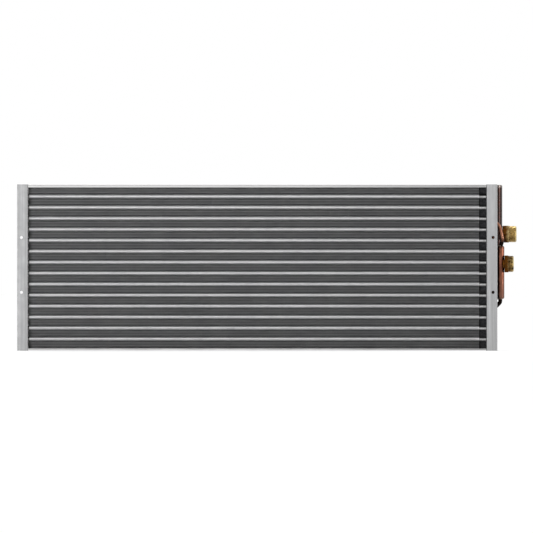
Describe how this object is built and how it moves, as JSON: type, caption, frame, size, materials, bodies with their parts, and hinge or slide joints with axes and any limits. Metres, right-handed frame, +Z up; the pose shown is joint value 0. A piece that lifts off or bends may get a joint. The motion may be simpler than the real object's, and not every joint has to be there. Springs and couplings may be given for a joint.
{
  "type": "air conditioning condenser",
  "caption": "Wide plate-fin condenser coil with copper hairpin tubes between two flanged end plates, and headers with threaded gas and liquid unions at one end.",
  "frame": {"origin": "centre of the four flange holes, on the front face of the flanges", "axes": "+X along the coil towards the unions, +Y from the front flanges to the rear, +Z up"},
  "size_m": [1.157, 0.0781, 0.3851],
  "materials": {
    "plate_aluminium": "satin mill finish",
    "rail_aluminium": "satin mill finish",
    "fin_aluminium": "satin",
    "strip_rubber": "matt foam rubber",
    "tube_copper": "polished copper",
    "gas_header_copper": "darkened copper",
    "liquid_header_copper": "dull copper",
    "fitting_brass": "machined brass"
  },
  "bodies": {
    "root": {"left_end_plate": "plate_aluminium", "right_end_plate": "plate_aluminium", "top_rail": "rail_aluminium", "bottom_rail": "rail_aluminium", "fin_core": "fin_aluminium", "front_fin_edges": "fin_aluminium", "rear_fin_edges": "fin_aluminium", "bypass_strip": "strip_rubber", "hairpin_tube_01": "tube_copper", "hairpin_tube_02": "tube_copper", "hairpin_tube_03": "tube_copper", "hairpin_tube_04": "tube_copper", "hairpin_tube_05": "tube_copper", "hairpin_tube_06": "tube_copper", "hairpin_tube_07": "tube_copper", "hairpin_tube_08": "tube_copper", "hairpin_tube_09": "tube_copper", "hairpin_tube_10": "tube_copper", "hairpin_tube_11": "tube_copper", "hairpin_tube_12": "tube_copper", "hairpin_tube_13": "tube_copper", "hairpin_tube_14": "tube_copper", "return_bend_01": "tube_copper", "return_bend_02": "tube_copper", "return_bend_03": "tube_copper", "return_bend_04": "tube_copper", "return_bend_05": "tube_copper", "return_bend_06": "tube_copper", "return_bend_07": "tube_copper", "return_bend_08": "tube_copper", "return_bend_09": "tube_copper", "return_bend_10": "tube_copper", "gas_feeder_1": "tube_copper", "gas_feeder_2": "tube_copper", "gas_feeder_3": "tube_copper", "gas_feeder_4": "tube_copper", "liquid_feeder_1": "tube_copper", "liquid_feeder_2": "tube_copper", "liquid_feeder_3": "tube_copper", "liquid_feeder_4": "tube_copper", "gas_header": "gas_header_copper", "liquid_header": "liquid_header_copper", "gas_inlet_fitting": "fitting_brass", "liquid_outlet_fitting": "fitting_brass"}
  },
  "joints": []
}
